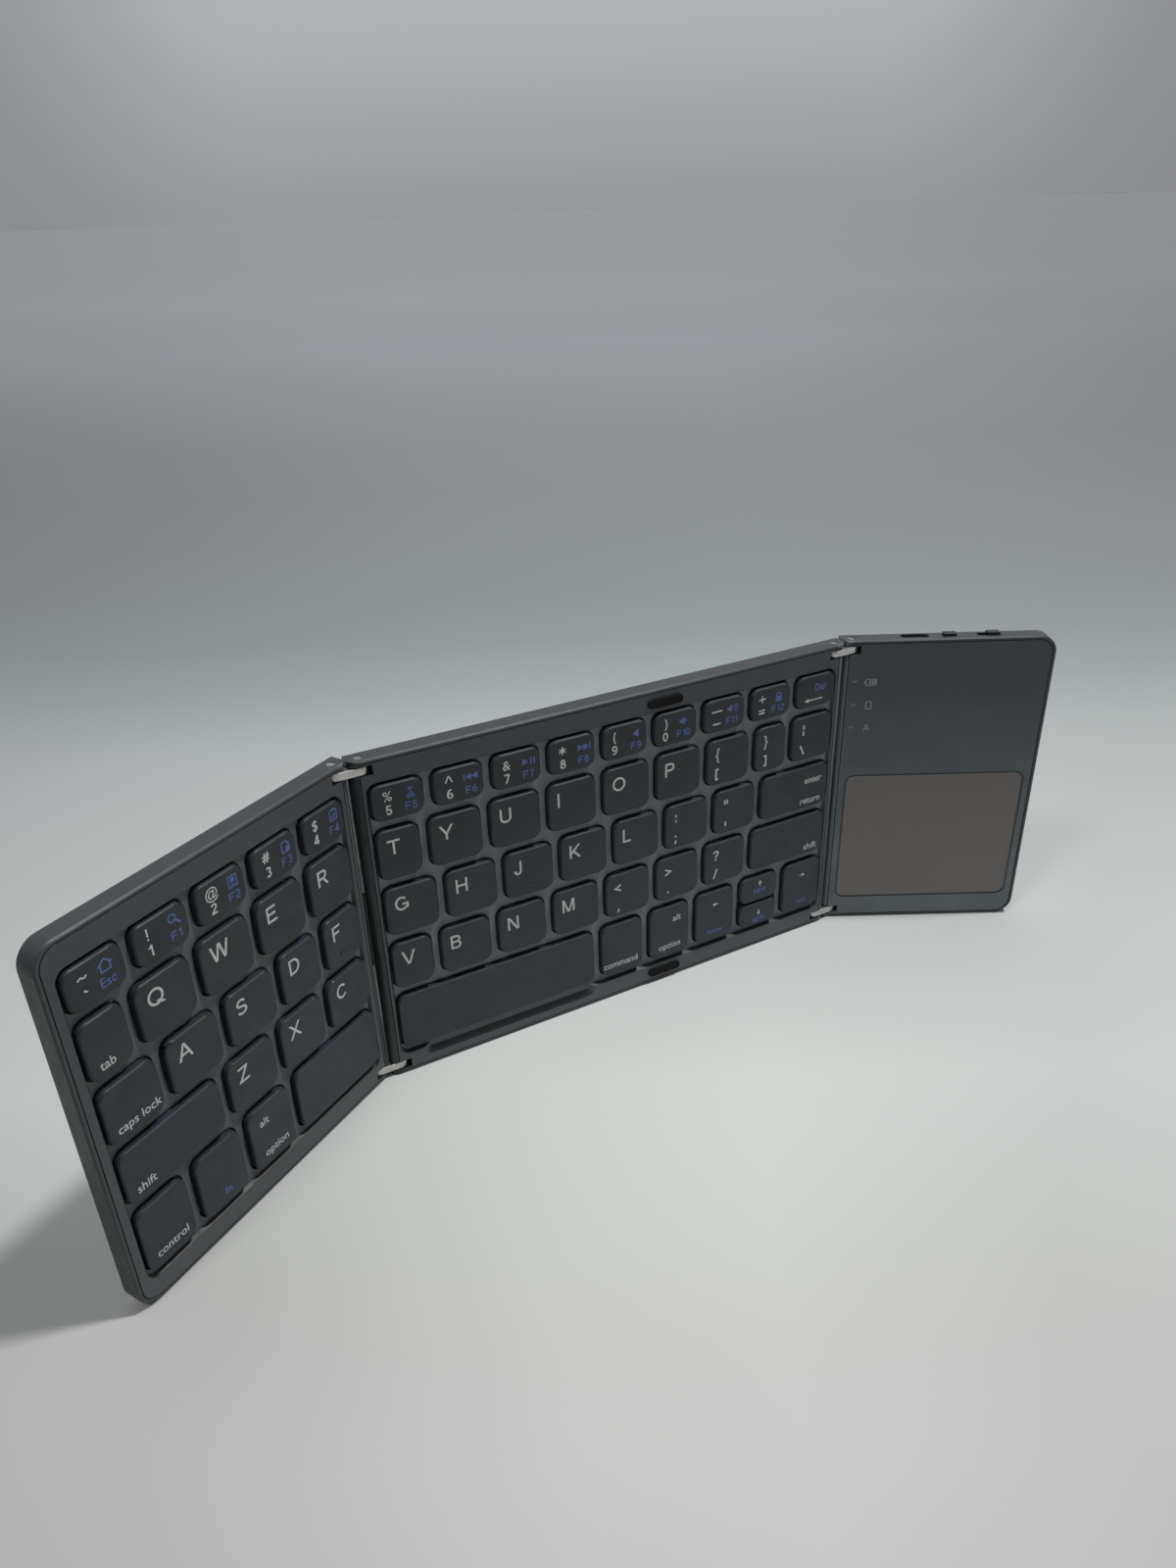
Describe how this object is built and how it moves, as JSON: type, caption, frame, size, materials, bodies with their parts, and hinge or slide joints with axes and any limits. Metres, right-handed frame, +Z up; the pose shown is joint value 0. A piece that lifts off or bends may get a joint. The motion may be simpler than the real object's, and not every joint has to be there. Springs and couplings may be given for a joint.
{
  "type": "folding keyboard",
  "caption": "Tri-fold keyboard with touchpad, standing on its long edge with both wings folded part-way forward on double-pin links.",
  "frame": {"origin": "middle of the bottom edge face of the centre panel, on the plane of the hinge pins", "axes": "+X along the row of keys from the left wing to the touchpad wing, keys face -Y, +Z up along the panel height"},
  "size_m": [0.285, 0.0504, 0.0989],
  "materials": {
    "shell": "satin dark grey",
    "front": "satin dark grey",
    "key": "matt near-black with white and blue legends",
    "support_steel": "pressed sheet",
    "membrane": "printed polyester film",
    "dome_rubber": "translucent silicone",
    "scissor_plastic": "moulded white nylon",
    "bumper_rubber": "soft black",
    "hinge_steel": "bright silver",
    "guard": "flexible black",
    "touch_surface": "matt warm grey",
    "circuit_board": "green solder mask",
    "battery_wrap": "foil pouch",
    "socket_steel": "drawn steel shell",
    "switch_plastic": "moulded black",
    "knob": "black",
    "light_guide": "clear moulded"
  },
  "bodies": {
    "centre_panel": {"centre_back_shell": "shell", "centre_front_plate": "front", "centre_key_support_plate": "support_steel", "centre_switch_membrane": "membrane", "centre_rubber_domes": "dome_rubber", "centre_scissor_frames": "scissor_plastic", "fold_bumpers": "bumper_rubber", "centre_hinge_pins": "hinge_steel", "centre_desk_feet": "bumper_rubber"},
    "left_links": {"left_hinge_links": "hinge_steel", "left_cable_guard": "guard"},
    "right_links": {"right_hinge_links": "hinge_steel", "right_cable_guard": "guard"},
    "left_wing": {"left_back_shell": "shell", "left_front_plate": "front", "left_key_support_plate": "support_steel", "left_switch_membrane": "membrane", "left_rubber_domes": "dome_rubber", "left_scissor_frames": "scissor_plastic", "left_hinge_pins": "hinge_steel", "left_desk_feet": "bumper_rubber"},
    "right_wing": {"right_back_shell": "shell", "right_front_plate": "front", "right_hinge_pins": "hinge_steel", "touchpad_surface": "touch_surface", "touchpad_sensor_board": "circuit_board", "main_board": "circuit_board", "battery": "battery_wrap", "charging_socket": "socket_steel", "power_switch_body": "switch_plastic", "pairing_switch_body": "switch_plastic", "status_light_guides": "light_guide", "right_desk_feet": "bumper_rubber"},
    "power_switch_knob": {"power_switch_knob": "knob"},
    "pairing_button": {"pairing_button": "knob"},
    "left_number_keys": {"left_number_keys": "key"},
    "left_upper_letter_keys": {"left_upper_letter_keys": "key"},
    "left_home_letter_keys": {"left_home_letter_keys": "key"},
    "left_lower_letter_keys": {"left_lower_letter_keys": "key"},
    "tab_key": {"tab_key": "key"},
    "caps_lock_key": {"caps_lock_key": "key"},
    "left_shift_key": {"left_shift_key": "key"},
    "control_key": {"control_key": "key"},
    "function_key": {"function_key": "key"},
    "left_option_key": {"left_option_key": "key"},
    "left_space_key": {"left_space_key": "key"},
    "centre_number_keys": {"centre_number_keys": "key"},
    "backspace_key": {"backspace_key": "key"},
    "centre_upper_letter_keys": {"centre_upper_letter_keys": "key"},
    "centre_home_letter_keys": {"centre_home_letter_keys": "key"},
    "enter_key": {"enter_key": "key"},
    "centre_lower_letter_keys": {"centre_lower_letter_keys": "key"},
    "right_shift_key": {"right_shift_key": "key"},
    "right_space_key": {"right_space_key": "key"},
    "command_key": {"command_key": "key"},
    "right_option_key": {"right_option_key": "key"},
    "left_arrow_key": {"left_arrow_key": "key"},
    "up_arrow_key": {"up_arrow_key": "key"},
    "down_arrow_key": {"down_arrow_key": "key"},
    "right_arrow_key": {"right_arrow_key": "key"}
  },
  "joints": [
    {"name": "left_link_fold", "type": "hinge", "parent": "centre_panel", "child": "left_links", "pos_m": [-0.0724, 0, 0.049], "axis": [0, 0, 1], "range_deg": [0, 90]},
    {"name": "left_wing_fold", "type": "hinge", "parent": "left_links", "child": "left_wing", "pos_m": [-0.079, 0, 0.049], "axis": [0, 0, 1], "range_deg": [-32, 58]},
    {"name": "right_link_fold", "type": "hinge", "parent": "centre_panel", "child": "right_links", "pos_m": [0.0724, 0, 0.049], "axis": [0, 0, -1], "range_deg": [0, 90]},
    {"name": "right_wing_fold", "type": "hinge", "parent": "right_links", "child": "right_wing", "pos_m": [0.079, 0, 0.049], "axis": [0, 0, -1], "range_deg": [-28, 62]},
    {"name": "power_switch_slide", "type": "slide", "parent": "right_wing", "child": "power_switch_knob", "axis": [-0.8829, 0.4695, 0], "range_m": [0, 0.0023]},
    {"name": "pairing_button_press", "type": "slide", "parent": "right_wing", "child": "pairing_button", "axis": [0, 0, -1], "range_m": [0, 0.0005], "stiffness_N_per_m": 1500},
    {"name": "left_number_keys_press", "type": "slide", "parent": "left_wing", "child": "left_number_keys", "axis": [-0.5299, 0.848, 0], "range_m": [0, 0.001], "stiffness_N_per_m": 500},
    {"name": "left_upper_letter_keys_press", "type": "slide", "parent": "left_wing", "child": "left_upper_letter_keys", "axis": [-0.5299, 0.848, 0], "range_m": [0, 0.001], "stiffness_N_per_m": 500},
    {"name": "left_home_letter_keys_press", "type": "slide", "parent": "left_wing", "child": "left_home_letter_keys", "axis": [-0.5299, 0.848, 0], "range_m": [0, 0.001], "stiffness_N_per_m": 500},
    {"name": "left_lower_letter_keys_press", "type": "slide", "parent": "left_wing", "child": "left_lower_letter_keys", "axis": [-0.5299, 0.848, 0], "range_m": [0, 0.001], "stiffness_N_per_m": 500},
    {"name": "tab_key_press", "type": "slide", "parent": "left_wing", "child": "tab_key", "axis": [-0.5299, 0.848, 0], "range_m": [0, 0.001], "stiffness_N_per_m": 500},
    {"name": "caps_lock_key_press", "type": "slide", "parent": "left_wing", "child": "caps_lock_key", "axis": [-0.5299, 0.848, 0], "range_m": [0, 0.001], "stiffness_N_per_m": 500},
    {"name": "left_shift_key_press", "type": "slide", "parent": "left_wing", "child": "left_shift_key", "axis": [-0.5299, 0.848, 0], "range_m": [0, 0.001], "stiffness_N_per_m": 500},
    {"name": "control_key_press", "type": "slide", "parent": "left_wing", "child": "control_key", "axis": [-0.5299, 0.848, 0], "range_m": [0, 0.001], "stiffness_N_per_m": 500},
    {"name": "function_key_press", "type": "slide", "parent": "left_wing", "child": "function_key", "axis": [-0.5299, 0.848, 0], "range_m": [0, 0.001], "stiffness_N_per_m": 500},
    {"name": "left_option_key_press", "type": "slide", "parent": "left_wing", "child": "left_option_key", "axis": [-0.5299, 0.848, 0], "range_m": [0, 0.001], "stiffness_N_per_m": 500},
    {"name": "left_space_key_press", "type": "slide", "parent": "left_wing", "child": "left_space_key", "axis": [-0.5299, 0.848, 0], "range_m": [0, 0.001], "stiffness_N_per_m": 500},
    {"name": "centre_number_keys_press", "type": "slide", "parent": "centre_panel", "child": "centre_number_keys", "axis": [0, 1, 0], "range_m": [0, 0.001], "stiffness_N_per_m": 500},
    {"name": "backspace_key_press", "type": "slide", "parent": "centre_panel", "child": "backspace_key", "axis": [0, 1, 0], "range_m": [0, 0.001], "stiffness_N_per_m": 500},
    {"name": "centre_upper_letter_keys_press", "type": "slide", "parent": "centre_panel", "child": "centre_upper_letter_keys", "axis": [0, 1, 0], "range_m": [0, 0.001], "stiffness_N_per_m": 500},
    {"name": "centre_home_letter_keys_press", "type": "slide", "parent": "centre_panel", "child": "centre_home_letter_keys", "axis": [0, 1, 0], "range_m": [0, 0.001], "stiffness_N_per_m": 500},
    {"name": "enter_key_press", "type": "slide", "parent": "centre_panel", "child": "enter_key", "axis": [0, 1, 0], "range_m": [0, 0.001], "stiffness_N_per_m": 500},
    {"name": "centre_lower_letter_keys_press", "type": "slide", "parent": "centre_panel", "child": "centre_lower_letter_keys", "axis": [0, 1, 0], "range_m": [0, 0.001], "stiffness_N_per_m": 500},
    {"name": "right_shift_key_press", "type": "slide", "parent": "centre_panel", "child": "right_shift_key", "axis": [0, 1, 0], "range_m": [0, 0.001], "stiffness_N_per_m": 500},
    {"name": "right_space_key_press", "type": "slide", "parent": "centre_panel", "child": "right_space_key", "axis": [0, 1, 0], "range_m": [0, 0.001], "stiffness_N_per_m": 500},
    {"name": "command_key_press", "type": "slide", "parent": "centre_panel", "child": "command_key", "axis": [0, 1, 0], "range_m": [0, 0.001], "stiffness_N_per_m": 500},
    {"name": "right_option_key_press", "type": "slide", "parent": "centre_panel", "child": "right_option_key", "axis": [0, 1, 0], "range_m": [0, 0.001], "stiffness_N_per_m": 500},
    {"name": "left_arrow_key_press", "type": "slide", "parent": "centre_panel", "child": "left_arrow_key", "axis": [0, 1, 0], "range_m": [0, 0.001], "stiffness_N_per_m": 500},
    {"name": "up_arrow_key_press", "type": "slide", "parent": "centre_panel", "child": "up_arrow_key", "axis": [0, 1, 0], "range_m": [0, 0.001], "stiffness_N_per_m": 500},
    {"name": "down_arrow_key_press", "type": "slide", "parent": "centre_panel", "child": "down_arrow_key", "axis": [0, 1, 0], "range_m": [0, 0.001], "stiffness_N_per_m": 500},
    {"name": "right_arrow_key_press", "type": "slide", "parent": "centre_panel", "child": "right_arrow_key", "axis": [0, 1, 0], "range_m": [0, 0.001], "stiffness_N_per_m": 500}
  ]
}
